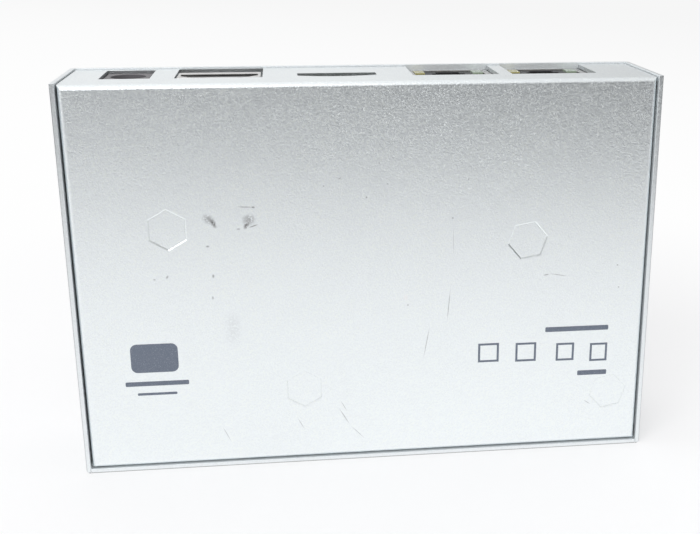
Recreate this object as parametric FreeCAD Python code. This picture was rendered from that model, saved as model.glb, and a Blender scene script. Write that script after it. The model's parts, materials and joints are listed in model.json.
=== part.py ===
"""A flat sheet-metal receiver box for video over cable, stood on its long narrow front wall.

+X runs along the port wall, +Y from the bottom plate to the cover, +Z up to the port wall.
The origin is under the middle of the box. All sizes are in millimetres.
"""

import FreeCAD, Part
import math
import os

Vector = FreeCAD.Vector

# Case: a folded tray and a folded cover of the same sheet
sheet = 0.8
case_width = 109.2
case_height = 73.9
cover_rise = 0.3
side_gap = 0.3
front_gap = 0.2
bend_radius = 1.0
corner_radius = 0.7
cover_fold_gap = 0.25
seam_gap = 0.15
seam_stop = 3.0
fit_gap = 0.02
near_fit = 0.05
moving_gap = 0.3

# Circuit board and the standoffs that carry it
standoff_height = 5.0
standoff_barrel_radius = 2.7
standoff_hex_flats = 6.35
standoff_hex_slope = 0.25
standoff_deep_sink = 0.1
standoff_slight_sink = 0.03
standoff_floor = 0.5
upper_left_side = 17.05
upper_left_drop = 26.2
upper_right_side = 23.3
upper_right_drop = 30.3
lower_left_side = 40.85
lower_left_rise = 14.45
lower_right_side = 6.15
lower_right_rise = 10.9
board_thickness = 1.6
board_side_gap = 0.8
board_port_gap = 1.2
board_front_gap = 2.0
board_corner = 1.0

# Shielded 8-way modular line jacks, latch side away from the board
plug_floor = 2.0
plug_width = 11.7
plug_height = 6.9
plug_depth = 13.5
latch_half_wide = 4.3
latch_rise_wide = 1.7
latch_half_narrow = 2.3
latch_rise_narrow = 2.0
latch_channel_half = 3.2
jack_roof = 0.8
window_wall = 0.4
window_width = 2.0
window_height = 3.5
window_depth = 6.0
window_side = 1.3
window_roof = 0.6
shield_rim = 1.2
jack_length = 21.3
shield_sheet = 0.25
jack_headroom = 0.4
line_jack_inset = 17.5
line_jack_pitch = 18.7
wire_count = 8
wire_pitch = 1.02
wire_width = 0.36
wire_thickness = 0.3
wire_run = 9.6
wire_lift = 3.6
wire_tail = 0.9
wire_root_inset = 2.15
wire_root_height = 1.25
wire_lane_height = 0.6
pin_reach = 1.2
pin_hole_radius = 0.42
pin_row_behind = 1.5
pin_row_pitch = 1.8
pin_well_length = 3.0
peg_radius = 1.6
shield_leg_from_peg = 5.0
shield_leg_width = 1.6
leg_slot_width = 1.0
leg_slot_play = 0.3

# Cut-outs of the port wall
cutout_floor = 0.1
cutout_play = 0.1
power_cutout_width = 9.0
power_cutout_height = 12.0
video_cutout_width = 15.8
video_cutout_height = 13.0
cutout_corner = 0.4

# Power jack with a centre pin
power_jack_inset = 10.5
power_body_width = 9.0
power_body_height = 11.0
power_body_length = 14.2
power_collar_length = 3.3
power_step = 0.9
power_nose_width = 8.2
power_nose_edge = 0.4
power_nose_inset = 0.4
power_bore_radius = 3.2
power_bore_depth = 9.8
power_axis_height = 6.5
power_pin_radius = 1.0
power_pin_recess = 0.9
leaf_width = 2.4
leaf_thickness = 0.25
leaf_run = 5.0
leaf_lift = 1.35
leaf_tail_run = 2.8
leaf_tail_drop = 1.05
leaf_root_below_axis = 3.9
leaf_slot_side = 0.3
leaf_slot_floor = 0.9

# Type A video outlet
power_to_video_pitch = 16.7
video_opening_width = 14.0
video_opening_height = 4.6
video_shell_sheet = 0.3
video_raise = 1.1
video_shell_length = 12.2
video_step_height = 2.8
video_slant_height = 1.1
video_slant_width = 1.4
video_far_lip = 1.8
video_side_lip = 0.25
video_near_lip = 0.15
video_face_inset = 0.05
tongue_width = 11.8
tongue_thickness = 1.9
tongue_near_gap = 1.2
tongue_recess = 0.25
insulator_base = 3.1
video_contact_width = 0.3
video_contact_thickness = 0.12
video_contact_pitch = 1.0
video_far_contacts = 10
video_near_contacts = 9
video_contact_inset = 0.6
video_contact_foot = 1.0
video_spring_start = 0.6
video_spring_half = 2.0
video_spring_crest = 0.5
video_leg_width = 1.3
video_front_leg = 3.9
video_back_leg = 10.0

# Half-moon slot between the video outlet and the line jacks
slot_width = 14.6
slot_far_edge = 4.9
slot_end_run = 3.3
slot_mid_run = 4.7
slot_offset = -0.15

# Flanges, cover screws and their nuts
side_flange_height = 16.0
front_flange_height = 6.0
flange_relief = 1.6
cover_screw_height = 11.5
cover_screw_low = 18.8
cover_screw_high = 13.6
screw_radius = 1.45
cover_screw_length = 4.8
cover_head_radius = 2.5
nut_radius = 2.8
nut_pilot_radius = 2.1
nut_thickness = 2.0
board_head_radius = 2.8
board_head_height = 2.0
board_screw_reach = 3.6
recess_width = 0.6
recess_length = 2.9
recess_depth = 1.0

# Parts on the board
body_lift = 0.1
receiver_size = 14.0
receiver_height = 1.4
pad_height = 0.5
sink_size = 28.0
sink_base = 1.5
sink_fin_height = 7.0
sink_fin_thickness = 1.0
sink_fins = 8
sink_from_left_jack = 9.3
sink_behind_jacks = 17.4
video_chip_size = 9.0
video_chip_height = 1.0
video_chip_drop = 28.0
controller_size = 7.0
controller_height = 1.4
controller_drop = 43.5
controller_lead_count = 8
controller_pitch = 0.7
memory_drop = 54.0
small_body_width = 3.9
small_body_length = 4.9
small_body_height = 1.5
small_lead_count = 4
small_body_pitch = 1.27
transformer_width = 9.0
transformer_length = 15.0
transformer_height = 5.6
transformer_lift = 0.3
transformer_lead_count = 12
transformer_pitch = 1.1
transformer_side = 2.0
transformer_behind = 21.5
coil_size = 7.0
coil_height = 3.8
coil_corner = 1.2
coil_drop = 33.0
coil_pitch = 10.0
coil_side = 1.2
converter_side = 6.8
converter_drop = 36.0
converter_pitch = 12.0
can_radius = 3.1
can_base_size = 6.6
can_base_height = 1.0
can_body_height = 6.7
can_round = 0.5
can_from_edge = 5.9
can_behind_jacks = 12.0
can_pitch = 8.0
can_drop = 23.4
oscillator_width = 2.5
oscillator_length = 3.2
oscillator_height = 0.9
oscillator_side = 7.4
array_width = 2.4
array_length = 1.3
array_height = 0.9
array_drop = 17.2
array_pitch = 5.0
array_behind_jack = 1.6
ceramic_length = 1.6
ceramic_width = 0.8
ceramic_height = 0.85
ceramic_pitch = 2.0
ceramic_from_chip = 6.2
resistor_height = 0.45
resistor_pitch = 1.6
resistor_side = 5.8
resistor_line_rise = 7.8
lead_reach = 1.0
lamp_radius = 1.5
lamp_flange = 0.25
lamp_height = 2.2
lamp_length = 5.6
lamp_inset = 0.3
lamp_holder_wall = 1.0
lamp_hole_play = 0.15
lamp_pitch = 9.0
lamp_from_edge = 21.3
lead_thickness = 0.15

# Planes worked out from the sizes above
jack_height = plug_floor + plug_height + latch_rise_wide + latch_rise_narrow + jack_roof
jack_width = 2 * (latch_half_wide + window_wall + window_width + window_side)
board_back = sheet + standoff_height
board_face = board_back + board_thickness
cover_inside = board_face + jack_height + jack_headroom
case_depth = cover_inside + sheet
wall_in = case_height - sheet
cover_top = case_height + cover_rise
tray_half = case_width / 2 - sheet - side_gap
tray_low = sheet + front_gap
tray_wall_end = cover_inside - cover_fold_gap
board_half = tray_half - sheet - board_side_gap
board_low = tray_low + sheet + board_front_gap
board_high = wall_in - board_port_gap
jack_front = wall_in - near_fit
jack_back = jack_front - jack_length
jack_top = board_face + jack_height
cutout_low = board_face + cutout_floor
power_x = -tray_half + power_jack_inset
video_x = power_x + power_to_video_pitch
line_x_right = tray_half - line_jack_inset
line_x_left = line_x_right - line_jack_pitch
line_jacks = {"left": line_x_left, "right": line_x_right}

# Standoffs: X and Z, the hexagon's turn, and how far its head lies under the plate's outer face
standoffs = [
    (-tray_half + upper_left_side, case_height - upper_left_drop, 30.0, standoff_deep_sink),
    (tray_half - upper_right_side, case_height - upper_right_drop, 10.0, standoff_deep_sink),
    (-tray_half + lower_left_side, tray_low + lower_left_rise, 30.0, standoff_slight_sink),
    (tray_half - lower_right_side, tray_low + lower_right_rise, 12.0, standoff_slight_sink),
]
cover_screws_z = [tray_low + cover_screw_low, case_height - cover_screw_high]


def block(x, y, z):
    """A box from (low, high) pairs along X, Y and Z."""
    return Part.makeBox(x[1] - x[0], y[1] - y[0], z[1] - z[0], Vector(x[0], y[0], z[0]))


def about(middle, width):
    """The (low, high) pair of a width centred on middle."""
    return (middle - width / 2, middle + width / 2)


def rod(radius, start, end):
    """A round rod from one point to another."""
    start = Vector(*start)
    run = Vector(*end) - start
    return Part.makeCylinder(radius, run.Length, start, run)


def taper(start_radius, end_radius, start, end):
    """A round taper from one point to another."""
    start = Vector(*start)
    run = Vector(*end) - start
    return Part.makeCone(start_radius, end_radius, run.Length, start, run)


def flat_face(points):
    """A flat face inside straight lines through the points."""
    return Part.Face(Part.makePolygon(points + points[:1]))


def prism_along_x(outline, x):
    """Extrudes an outline of (y, z) points over the span x."""
    points = [Vector(x[0], y, z) for y, z in outline]
    return flat_face(points).extrude(Vector(x[1] - x[0], 0, 0))


def prism_along_y(outline, y):
    """Extrudes an outline of (x, z) points over the span y."""
    points = [Vector(x, y[0], z) for x, z in outline]
    return flat_face(points).extrude(Vector(0, y[1] - y[0], 0))


def prism_along_z(outline, z):
    """Extrudes an outline of (x, y) points over the span z."""
    points = [Vector(x, y, z[0]) for x, y in outline]
    return flat_face(points).extrude(Vector(0, 0, z[1] - z[0]))


def strip_outline(path, thickness):
    """The closed outline of a strip of sheet that follows a bent path of (y, z) points."""
    right_side = []
    left_side = []
    for index, point in enumerate(path):
        here = Vector(point[0], point[1], 0)
        sides = []
        if index > 0:
            sides.append(here - Vector(path[index - 1][0], path[index - 1][1], 0))
        if index < len(path) - 1:
            sides.append(Vector(path[index + 1][0], path[index + 1][1], 0) - here)
        normals = [Vector(-side.y, side.x, 0).normalize() for side in sides]
        mean = sum(normals, Vector(0, 0, 0)).normalize()
        reach = thickness / 2 / mean.dot(normals[0])
        left_side.append((point[0] + mean.x * reach, point[1] + mean.y * reach))
        right_side.append((point[0] - mean.x * reach, point[1] - mean.y * reach))
    return left_side + right_side[::-1]


def strip(path, thickness, x):
    """A strip of sheet bent along a path of (y, z) points, as wide as the span x."""
    return prism_along_x(strip_outline(path, thickness), x)


def round_edges(shape, radius, chosen):
    """Fillets the edges for which chosen(edge) is true."""
    edges = [edge for edge in shape.Edges if chosen(edge)]
    return shape.makeFillet(radius, edges)


def runs_along(edge, axis):
    """True for a straight edge that runs along the axis "x", "y" or "z"."""
    box = edge.BoundBox
    spans = {"x": box.XLength, "y": box.YLength, "z": box.ZLength}
    length = spans.pop(axis)
    return length > fit_gap and max(spans.values()) < fit_gap / 2


def joined(shapes):
    """One solid from shapes that touch."""
    return shapes[0].multiFuse(shapes[1:]).removeSplitter()


def group(shapes):
    """Separate solids kept as one node."""
    return Part.makeCompound(shapes)


def hexagon(centre, flats, turn, y, slope=0):
    """A hexagonal prism along Y, turned by some degrees, that narrows by slope on every side."""
    rings = []
    for place, across in ((y[0], flats + 2 * slope), (y[1], flats)):
        radius = across / 2 / math.cos(math.pi / 6)
        angles = [math.radians(60 * corner + turn) for corner in range(6)]
        points = [
            Vector(centre[0] + radius * math.cos(a), place, centre[1] + radius * math.sin(a)) for a in angles
        ]
        rings.append(Part.makePolygon(points + points[:1]))
    return Part.makeLoft(rings, True, True)


def leg_slot(x, z, leg_width):
    """The board's slot for a flat leg of sheet metal."""
    return block(about(x, leg_slot_width), (0, case_depth), about(z, leg_width + 2 * leg_slot_play))


def line_cutouts():
    """The two line jack notches, open at the far edge of the port wall."""
    width = jack_width + 2 * cutout_play
    cuts = []
    for middle in line_jacks.values():
        notch = block(about(middle, width), (cutout_low, case_depth), (wall_in - 1, case_height + 1))
        cuts.append(notch)
    return cuts


def rounded_cutout(middle, width, height):
    """A closed cut-out with small round corners, from the common lower line."""
    hole = block(about(middle, width), (cutout_low, cutout_low + height), (wall_in - 1, case_height + 1))
    return round_edges(hole, cutout_corner, lambda edge: runs_along(edge, "z"))


def half_moon_slot():
    """The slot between the outlet and the line jacks, straight at its far edge, bowed at the near one."""
    gap_low = video_x + video_cutout_width / 2
    gap_high = line_x_left - jack_width / 2 - cutout_play
    middle = (gap_low + gap_high) / 2 + slot_offset
    ends = about(middle, slot_width)
    far = board_face + slot_far_edge
    z = wall_in - 1
    corners = [Vector(ends[0], far - slot_end_run, z), Vector(ends[0], far, z)]
    corners += [Vector(ends[1], far, z), Vector(ends[1], far - slot_end_run, z)]
    edges = [Part.makeLine(corners[index], corners[index + 1]) for index in range(3)]
    edges.append(Part.Arc(corners[3], Vector(middle, far - slot_mid_run, z), corners[0]).toShape())
    return Part.Face(Part.Wire(edges)).extrude(Vector(0, 0, sheet + 2))


def bottom_tray():
    """The tray: bottom plate and port wall in one fold, with low side flanges and a front flange."""
    outer = block((-tray_half, tray_half), (0, tray_wall_end), (tray_low, case_height))
    outer = round_edges(outer, bend_radius, lambda edge: edge.BoundBox.YMax < fit_gap)
    inside = tray_half - sheet
    inner = block((-inside, inside), (sheet, case_depth), (tray_low + sheet, wall_in))
    tray = outer.cut(inner)
    over = case_width
    z_low = tray_low - 1
    tray = tray.cut(block((-over, over), (side_flange_height, case_depth), (z_low, wall_in)))
    tray = tray.cut(block((-inside, inside), (front_flange_height, case_depth), (z_low, tray_low + sheet)))
    for side in (-1, 1):
        reach = sorted((side * (inside - flange_relief), side * over))
        for z in ((z_low, tray_low + sheet + flange_relief), (wall_in - flange_relief, wall_in)):
            tray = tray.cut(block(reach, (bend_radius, case_depth), z))
    power_hole = rounded_cutout(power_x, power_cutout_width, power_cutout_height)
    video_hole = rounded_cutout(video_x, video_cutout_width, video_cutout_height)
    for hole in [half_moon_slot(), power_hole, video_hole] + line_cutouts():
        tray = tray.cut(hole)
    across = standoff_hex_flats + 2 * fit_gap
    for x, z, turn, sink in standoffs:
        tray = tray.cut(hexagon((x, z), across, turn, (0, sheet + 1)))
        tray = tray.cut(hexagon((x, z), across, turn, (0, sink), standoff_hex_slope))
    for z in cover_screws_z:
        start = (-case_width, cover_screw_height, z)
        tray = tray.cut(rod(nut_pilot_radius + fit_gap, start, (case_width, cover_screw_height, z)))
    return tray


def top_cover():
    """The cover: top plate, side walls and front wall, a little proud of the port wall that closes it."""
    half = case_width / 2
    outer = block((-half, half), (0, case_depth), (0, cover_top))

    def folded(edge):
        box = edge.BoundBox
        lower = box.ZMax < fit_gap
        upright = box.ZLength > case_height / 2
        return box.YMin > case_depth - fit_gap and (lower or upright)

    outer = round_edges(outer, bend_radius, folded)
    outer = round_edges(outer, corner_radius, lambda e: runs_along(e, "y") and e.BoundBox.ZMax < bend_radius)
    inner = block((-half + sheet, half - sheet), (-1, cover_inside), (sheet, cover_top + 1))
    cover = outer.cut(inner)
    for side in (-1, 1):
        seam_x = about(side * (half - sheet), seam_gap)
        seam = block(seam_x, (-1, case_depth - seam_stop), (-1, sheet + fit_gap))
        cover = cover.cut(seam)
        outside = (side * half, cover_screw_height)
        depth = cover_head_radius - screw_radius
        for z in cover_screws_z:
            start = (outside[0] + side * near_fit, outside[1], z)
            end = (outside[0] - side * depth, outside[1], z)
            cover = cover.cut(taper(cover_head_radius + 2 * near_fit, screw_radius + near_fit, start, end))
    for x in lamp_places():
        start = (x, board_face + lamp_height, -1)
        cover = cover.cut(rod(lamp_radius + lamp_hole_play, start, (x, board_face + lamp_height, sheet + 1)))
    return cover


def lamp_places():
    """The X places of the two indicator lamps."""
    first = -tray_half + lamp_from_edge
    return [first, first + lamp_pitch]


def board_standoffs():
    """Blind standoffs whose hexagonal heads fill the holes of the bottom plate."""
    made = []
    for x, z, turn, sink in standoffs:
        head = hexagon((x, z), standoff_hex_flats, turn, (sink, sheet))
        barrel = rod(standoff_barrel_radius, (x, sheet / 2, z), (x, board_back, z))
        bore = rod(screw_radius + fit_gap, (x, sheet + standoff_floor, z), (x, board_back + 1, z))
        made.append(joined([head, barrel]).cut(bore))
    return group(made)


def cross_recess(place, axis):
    """The cross-shaped driver recess of a screw head, cut along -axis from the head's face."""
    cuts = []
    along = [index for index in range(3) if axis[index] != 0][0]
    across = [index for index in range(3) if axis[index] == 0]
    for length, width in ((recess_length, recess_width), (recess_width, recess_length)):
        spans = [None, None, None]
        spans[across[0]] = about(place[across[0]], length)
        spans[across[1]] = about(place[across[1]], width)
        deep = place[along] - axis[along] * recess_depth
        out = place[along] + axis[along]
        spans[along] = (min(deep, out), max(deep, out))
        cuts.append(block(*spans))
    return cuts[0].fuse(cuts[1])


def board_screws():
    """Pan head screws that hold the board on its standoffs."""
    made = []
    for x, z, _, _ in standoffs:
        face = board_face + board_head_height
        head = rod(board_head_radius, (x, board_face, z), (x, face, z))
        head = round_edges(head, board_head_height / 3, lambda edge: edge.BoundBox.YMin > face - fit_gap)
        shank = rod(screw_radius, (x, board_back - board_screw_reach, z), (x, board_face, z))
        made.append(joined([head, shank]).cut(cross_recess((x, face, z), (0, 1, 0))))
    return group(made)


def cover_screws():
    """Countersunk screws through the cover's side walls."""
    made = []
    for side in (-1, 1):
        for z in cover_screws_z:
            face = side * case_width / 2
            neck = face - side * (cover_head_radius - screw_radius)
            tip = face - side * cover_screw_length
            y = cover_screw_height
            head = taper(cover_head_radius, screw_radius, (face, y, z), (neck, y, z))
            shank = rod(screw_radius, (neck, y, z), (tip, y, z))
            made.append(joined([head, shank]).cut(cross_recess((face, y, z), (side, 0, 0))))
    return group(made)


def cover_nuts():
    """Clinch nuts pressed into the tray's side flanges."""
    made = []
    for side in (-1, 1):
        for z in cover_screws_z:
            y = cover_screw_height
            outside = side * tray_half
            seat = outside - side * sheet
            inside = seat - side * nut_thickness
            body = rod(nut_radius, (inside, y, z), (seat, y, z))
            pilot = rod(nut_pilot_radius, (seat, y, z), (outside, y, z))
            bore = rod(screw_radius + fit_gap, (inside - side, y, z), (outside + side, y, z))
            made.append(joined([body, pilot]).cut(bore))
    return group(made)


def power_jack():
    """The power jack: moulded body, centre pin with its blade, spring leaf and the leaf's terminal."""
    half = power_body_width / 2
    axis_y = board_face + power_axis_height
    top = board_face + power_body_height
    collar_back = jack_front - power_collar_length
    back = jack_front - power_body_length
    bore_end = jack_front - power_bore_depth
    collar = block(about(power_x, power_body_width), (board_face, top), (collar_back, jack_front))
    nose_y = (board_face + power_nose_edge, top - power_nose_edge)
    nose_z = (jack_front - fit_gap, case_height - power_nose_inset)
    nose = block(about(power_x, power_nose_width), nose_y, nose_z)
    inset = power_step / 4
    rear_x = about(power_x, power_body_width - 2 * inset)
    rear = block(rear_x, (board_face, top - power_step), (back, collar_back))
    rear = round_edges(
        rear, half / 2, lambda e: runs_along(e, "z") and e.BoundBox.YMin > top - power_step - fit_gap
    )
    blade_z = back + power_step
    root_y = axis_y - leaf_root_below_axis
    root_z = bore_end - 2 * leaf_thickness
    leaf_x = about(power_x, leaf_width)
    knee = (root_y + leaf_lift, root_z + leaf_run)
    tail = (knee[0] - leaf_tail_drop, knee[1] + leaf_tail_run)
    leaf = strip([(root_y, root_z), knee, tail], leaf_thickness, leaf_x)
    foot_y = board_back - pin_reach
    step_z = root_z - moving_gap
    turn_z = step_z - leaf_thickness * 3
    terminal = strip([(root_y, step_z), (root_y, turn_z), (foot_y, turn_z)], leaf_thickness, leaf_x)
    pin_tip = jack_front - power_pin_recess
    pin = rod(power_pin_radius, (power_x, axis_y, blade_z), (power_x, axis_y, pin_tip))
    pin = round_edges(pin, power_pin_radius * 0.6, lambda edge: edge.BoundBox.ZMin > pin_tip - fit_gap)
    blade_span = about(blade_z, leaf_thickness * 2)
    blade = block(leaf_x, (foot_y, axis_y + power_pin_radius), blade_span)
    pin = joined([pin, blade])

    bore = rod(power_bore_radius, (power_x, axis_y, bore_end), (power_x, axis_y, jack_front + 1))
    slot = block(
        about(power_x, leaf_width + 2 * leaf_slot_side),
        (root_y - leaf_slot_floor, axis_y - power_bore_radius / 2),
        (step_z + leaf_thickness / 2, tail[1] + leaf_thickness * 2),
    )
    chamber = block(
        about(power_x, leaf_width + 4 * leaf_slot_side),
        (board_face - 1, axis_y + power_pin_radius + leaf_slot_side),
        (back - 1, blade_span[1] + leaf_slot_side),
    )
    body = joined([collar, nose, rear]).cut(bore).cut(slot).cut(chamber).cut(terminal).cut(pin)
    holes = []
    for z in (blade_z, turn_z):
        spans = (about(power_x, leaf_width + 2 * leaf_slot_side), (0, case_depth), about(z, leg_slot_width))
        holes.append(block(*spans))
    pieces = {
        "power_jack_body": body,
        "power_jack_pin": pin,
        "power_jack_leaf": leaf,
        "power_jack_terminal": terminal,
    }
    return pieces, holes


def video_outline(grow):
    """The video opening's outline as (x, y) points, moved outwards by grow."""
    half = video_opening_width / 2 + grow
    near = board_face + video_raise + video_shell_sheet - grow
    far = near + video_opening_height + 2 * grow
    shoulder = far - video_step_height - 2 * grow
    waist = shoulder - video_slant_height
    narrow = half - video_slant_width
    right = [(narrow, near), (narrow, waist), (half, shoulder), (half, far)]
    left = [(-x, y) for x, y in reversed(right)]
    return [(video_x + x, y) for x, y in right + left]


def video_port():
    """The video outlet: drawn shell with lips, springs and legs, insulator with its tongue, contacts."""
    face = case_height - video_face_inset
    back = face - video_shell_length
    opening = prism_along_z(video_outline(0), (back - 1, face + 1))
    tube = prism_along_z(video_outline(video_shell_sheet), (back, face))
    near = board_face + video_raise
    far = near + video_opening_height + 2 * video_shell_sheet
    half = video_opening_width / 2 + video_shell_sheet
    lip = block(
        about(video_x, 2 * (half + video_side_lip)),
        (near - video_near_lip, far + video_far_lip),
        (face - video_shell_sheet, face),
    )
    lip = round_edges(lip, cutout_corner, lambda edge: runs_along(edge, "z"))
    shell = joined([tube, lip]).cut(opening)
    inner_half = video_opening_width / 2
    spring_y = (far - video_step_height, far - 2 * video_shell_sheet)
    holes = []
    legs = []
    for side in (-1, 1):
        wall = video_x + side * (inner_half + video_shell_sheet / 2)
        crest = video_x + side * (inner_half - video_spring_crest)
        start_z = face - video_spring_start
        outline = [(wall, start_z), (crest, start_z - video_spring_half)]
        outline.append((wall, start_z - 2 * video_spring_half))
        legs.append(prism_along_y(outline, spring_y))
        for leg_z in (face - video_front_leg, face - video_back_leg):
            x = about(video_x + side * (half - video_shell_sheet / 2), video_shell_sheet)
            leg_y = (board_back - pin_reach / 2, far - video_step_height)
            legs.append(block(x, leg_y, about(leg_z, video_leg_width)))
            holes.append(leg_slot(video_x + side * half, leg_z, video_leg_width))
    shell = joined([shell] + legs)

    front = face - tongue_recess
    base_front = back + insulator_base
    base = prism_along_z(video_outline(-fit_gap), (back, base_front))
    tongue_near = near + video_shell_sheet + tongue_near_gap
    tongue_y = (tongue_near, tongue_near + tongue_thickness)
    tongue = block(about(video_x, tongue_width), tongue_y, (base_front, front))
    contacts = []
    rows = [(tongue_y[1] + video_contact_thickness / 2, video_far_contacts)]
    rows.append((tongue_y[0] - video_contact_thickness / 2, video_near_contacts))
    riser_z = back - 3 * video_contact_thickness
    foot_y = board_face + video_contact_thickness
    for row_y, count in rows:
        first = video_x - (count - 1) * video_contact_pitch / 2
        for index in range(count):
            x = about(first + index * video_contact_pitch, video_contact_width)
            path = [(row_y, front - video_contact_inset), (row_y, riser_z)]
            path += [(foot_y, riser_z), (foot_y, riser_z - video_contact_foot)]
            contacts.append(strip(path, video_contact_thickness, x))
    insulator = joined([base, tongue]).cut(group(contacts))
    pieces = {
        "video_port_shell": shell,
        "video_port_insulator": insulator,
        "video_port_contacts": group(contacts),
    }
    return pieces, holes


def line_jack_opening(middle, z, half_low, half_wide, half_narrow):
    """The stepped plug opening of a line jack over the span z."""
    floor = board_face + plug_floor
    roof = floor + plug_height
    step = roof + latch_rise_wide
    top = step + latch_rise_narrow
    right = [(half_low, floor), (half_low, roof), (half_wide, roof), (half_wide, step)]
    right += [(half_narrow, step), (half_narrow, top)]
    outline = [(middle + x, y) for x, y in right] + [(middle - x, y) for x, y in reversed(right)]
    return prism_along_z(outline, z)


def line_jack(side, middle):
    """One line jack: shield, housing, contact wires, their terminals and two indicator windows."""
    half = jack_width / 2
    wall = shield_sheet
    floor = board_face + plug_floor
    box = block((middle - half, middle + half), (board_face, jack_top), (jack_back, jack_front))
    hollow_x = (middle - half + wall, middle + half - wall)
    hollow = block(hollow_x, (board_face - 1, jack_top - wall), (jack_back + wall, jack_front - wall))
    shield = box.cut(hollow)
    front_z = (jack_front - wall - fit_gap, jack_front + 1)
    plug_half = plug_width / 2
    front_y = (floor - near_fit, jack_top - wall)
    shield = shield.cut(block(about(middle, 2 * (half - shield_rim)), front_y, front_z))
    body_x = (hollow_x[0] + fit_gap, hollow_x[1] - fit_gap)
    body_y = (board_face, jack_top - wall - fit_gap)
    body_z = (jack_back + wall + fit_gap, jack_front - wall - fit_gap)
    housing = block(body_x, body_y, body_z)
    cavity_z = (jack_front - plug_depth, jack_front)
    housing = housing.cut(
        line_jack_opening(middle, cavity_z, plug_half, latch_channel_half, latch_half_narrow)
    )
    window_high = jack_top - window_roof
    window_y = (window_high - window_height, window_high)
    window_z = (jack_front - window_depth, jack_front)
    windows = []
    for hand in (-1, 1):
        inner_edge = latch_half_wide + window_wall
        edges = sorted((middle + hand * inner_edge, middle + hand * (inner_edge + window_width)))
        cut = block(edges, window_y, (window_z[0], window_z[1] + 1))
        shield = shield.cut(cut)
        housing = housing.cut(cut)
        lens_x = (edges[0] + fit_gap, edges[1] - fit_gap)
        lens_y = (window_y[0] + fit_gap, window_y[1] - fit_gap)
        windows.append(block(lens_x, lens_y, window_z))

    root_z = jack_front - wire_root_inset
    root_y = board_face + wire_root_height
    lane_y = board_face + wire_lane_height
    lane = (wire_count * wire_pitch) / 2 + wire_width / 2
    pins_z = jack_front - plug_depth - pin_row_behind
    trough_low = board_face + wire_lane_height / 4
    lanes = (middle - lane, middle + lane)
    trough = block(lanes, (trough_low, floor + 1), (cavity_z[0] + 1.0, root_z + 1.0))
    tunnel_top = lane_y + wire_thickness * 2
    tunnel = block(lanes, (trough_low, tunnel_top), (pins_z, cavity_z[0] + 2))
    well_z = (pins_z - pin_well_length, pins_z + pin_row_behind)
    well = block(lanes, (board_face - 1, tunnel_top), well_z)
    housing = housing.cut(trough).cut(tunnel).cut(well)
    pegs = []
    holes = []
    peg_z = jack_front - plug_depth / 2
    for hand in (-1, 1):
        peg_x = middle + hand * (half - peg_radius - 2 * wall)
        pegs.append(rod(peg_radius, (peg_x, board_back, peg_z), (peg_x, board_face + 1, peg_z)))
        holes.append(rod(peg_radius + near_fit, (peg_x, 0, peg_z), (peg_x, case_depth, peg_z)))
    housing = joined([housing] + pegs)
    legs = []
    for hand in (-1, 1):
        leg_x = about(middle + hand * (half - wall / 2), wall)
        leg_z = peg_z - shield_leg_from_peg
        legs.append(block(leg_x, (board_back - pin_reach, board_face + 1), about(leg_z, shield_leg_width)))
        holes.append(leg_slot(middle + hand * half, leg_z, shield_leg_width))
    shield = joined([shield] + legs)

    wires = []
    terminals = []
    knee = (root_y + wire_lift, root_z - wire_run)
    end = (knee[0] + wire_tail * 0.2, knee[1] - wire_tail)
    bend_z = root_z + wire_thickness / 2 + moving_gap + near_fit
    foot_y = board_back - pin_reach
    for index in range(wire_count):
        x_middle = middle + (index - (wire_count - 1) / 2) * wire_pitch
        x = about(x_middle, wire_width)
        wires.append(strip([(root_y, root_z), knee, end], wire_thickness, x))
        foot_z = pins_z if index % 2 == 0 else pins_z - pin_row_pitch
        path = [(root_y, bend_z), (lane_y, bend_z), (lane_y, foot_z), (foot_y, foot_z)]
        terminals.append(strip(path, wire_thickness, x))
        holes.append(rod(pin_hole_radius, (x_middle, 0, foot_z), (x_middle, case_depth, foot_z)))
    name = "line_jack_" + side
    pieces = {
        name + "_shield": shield,
        name + "_housing": housing,
        name + "_contacts": group(wires),
        name + "_terminals": group(terminals),
        name + "_yellow_window": windows[0],
        name + "_green_window": windows[1],
    }
    return pieces, holes


def gull_leads(middle, size, counts, pitch, height):
    """The formed leads of a package: counts along the X sides and the Z sides, at one pitch."""
    shoulder = board_face + height / 2
    foot = board_face + lead_thickness / 2
    width = about(0, pitch / 2)
    path = [(shoulder, 0), (shoulder, lead_reach / 3), (foot, lead_reach / 2), (foot, lead_reach)]
    centre = Vector(middle[0], 0, middle[1])
    leads = []
    for quarter in range(4):
        count = counts[1] if quarter % 2 == 0 else counts[0]
        reach = size[1] / 2 if quarter % 2 == 0 else size[0] / 2
        for index in range(count):
            lead = strip(path, lead_thickness, width)
            lead.translate(Vector((index - (count - 1) / 2) * pitch, 0, reach))
            lead.rotate(Vector(0, 0, 0), Vector(0, 1, 0), 90 * quarter)
            lead.translate(centre)
            leads.append(lead)
    return leads


def package(middle, size, height, lift=0):
    """A moulded package on the board, with the edges of its top chamfered."""
    y = (board_face + lift, board_face + height)
    body = block(about(middle[0], size[0]), y, about(middle[1], size[1]))
    top_edges = [edge for edge in body.Edges if edge.BoundBox.YMin > y[1] - fit_gap]
    return body.makeChamfer((y[1] - y[0]) / 8, top_edges)


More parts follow.
